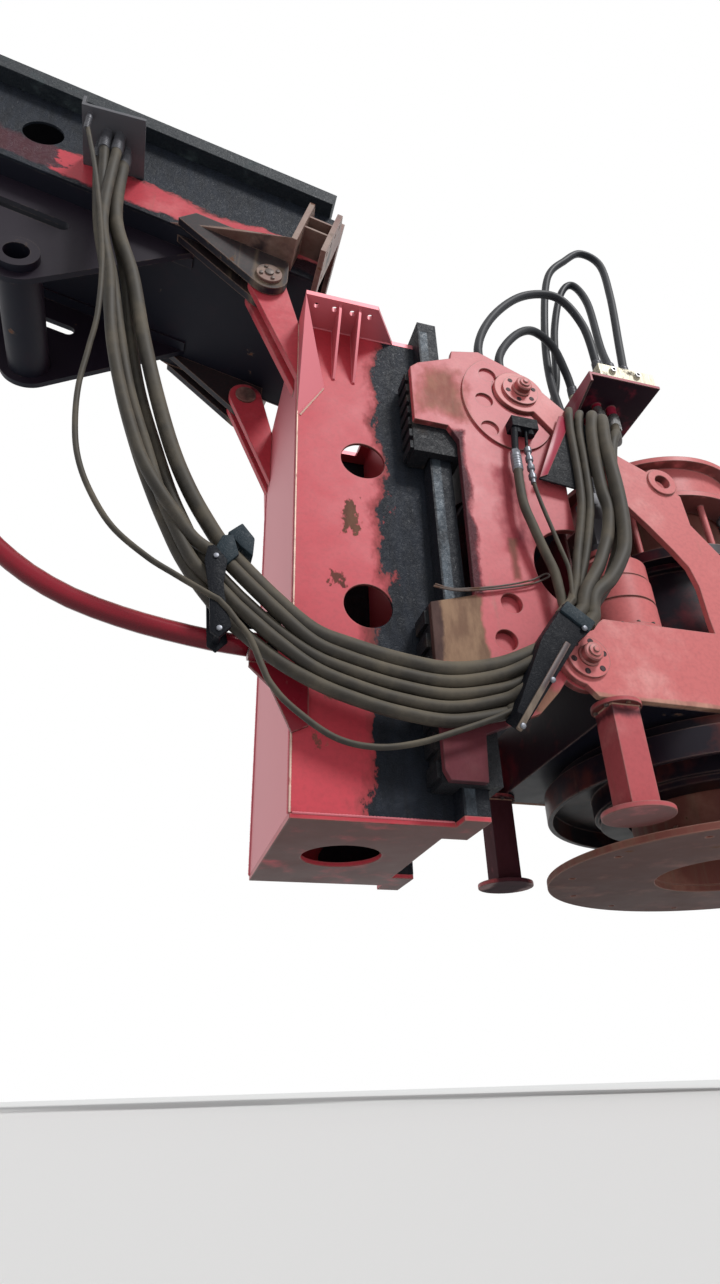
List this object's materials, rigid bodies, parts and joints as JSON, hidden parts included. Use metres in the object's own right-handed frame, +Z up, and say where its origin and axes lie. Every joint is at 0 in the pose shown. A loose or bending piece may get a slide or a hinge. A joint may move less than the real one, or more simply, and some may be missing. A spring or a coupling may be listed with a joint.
{
  "type": "folding mast end of a rotary piling rig with feed sledge and rotary drive",
  "caption": "Folding mast end of a piling rig: hinged box mast, feed sledge on guide rails, rotary drive with spring cage, sleeve and disc, and a looped hose bundle.",
  "frame": {"origin": "axis of the mast carrier's pivot bore, in the middle of its length", "axes": "+Z up with the lower mast upright, +X forward from the mast towards the drill axis, +Y to the machine's left"},
  "size_m": [5.4505, 1.61, 4.1823],
  "materials": {
    "red_paint": "faded, chipped pinkish-red paint",
    "worn_paint": "dirty brownish-red paint with bare patches",
    "stay_paint": "deep red paint, semi-gloss",
    "greasy_steel": "black grease over steel",
    "dark_steel": "dark, dusty steel",
    "bright_steel": "worn bright steel",
    "pale_steel": "dusty pale yellowish steel",
    "hose_rubber": "dusty grey-brown hose cover"
  },
  "bodies": {
    "mid_mast": {"mid_mast_sides": "red_paint", "mid_mast_front_rear": "worn_paint", "mid_mast_flanges": "pale_steel", "mid_mast_ears": "worn_paint", "mid_guide_rails": "greasy_steel", "mast_carrier": "worn_paint", "hinge_pins": "worn_paint", "hose_bulkhead": "dark_steel", "drop_hoses": "hose_rubber"},
    "lower_mast": {"lower_mast_sides": "red_paint", "lower_mast_front_rear": "red_paint", "lower_mast_foot": "worn_paint", "lower_mast_flange": "red_paint", "lower_mast_lugs": "red_paint", "lower_guide_rails": "greasy_steel", "feed_cylinder_barrel": "red_paint", "feed_cylinder_bracket": "red_paint", "feed_cylinder_pins": "bright_steel", "upper_hose_clamp": "dark_steel", "stay_tube": "stay_paint", "stay_tube_bracket": "red_paint", "loop_hoses": "hose_rubber"},
    "sledge": {"sledge_side_plates": "red_paint", "sledge_doublers": "red_paint", "sledge_cross_frame": "red_paint", "guide_claws": "greasy_steel", "feed_cylinder_rod": "bright_steel", "drive_pins": "red_paint", "drive_side_plates": "red_paint", "gearbox_housing": "red_paint", "gearbox_drum": "worn_paint", "reducers": "red_paint", "hydraulic_motors": "dark_steel", "spring_seat": "red_paint", "damper_springs": "dark_steel", "spring_cage_ring": "red_paint", "support_legs": "red_paint", "manifold_bracket": "red_paint", "manifold_block": "pale_steel", "small_manifold": "dark_steel", "lower_hose_clamp": "dark_steel", "riser_hoses": "hose_rubber", "motor_hoses": "hose_rubber"},
    "kelly_drive": {"drive_sleeve": "bright_steel", "turning_disc": "worn_paint"}
  },
  "joints": [
    {"name": "mast_fold", "type": "hinge", "parent": "mid_mast", "child": "lower_mast", "pos_m": [1.16789, 0, 0.08151], "axis": [0, -1, 0], "range_deg": [0, 75], "deforming": ["drop_hoses"]},
    {"name": "feed", "type": "slide", "parent": "lower_mast", "child": "sledge", "axis": [0, 0, 1], "range_m": [-0.08, 0.38], "deforming": ["loop_hoses"]},
    {"name": "drive_spin", "type": "hinge", "parent": "sledge", "child": "kelly_drive", "pos_m": [3.41289, 0, -2.65349], "axis": [0, 0, 1], "continuous": true}
  ]
}
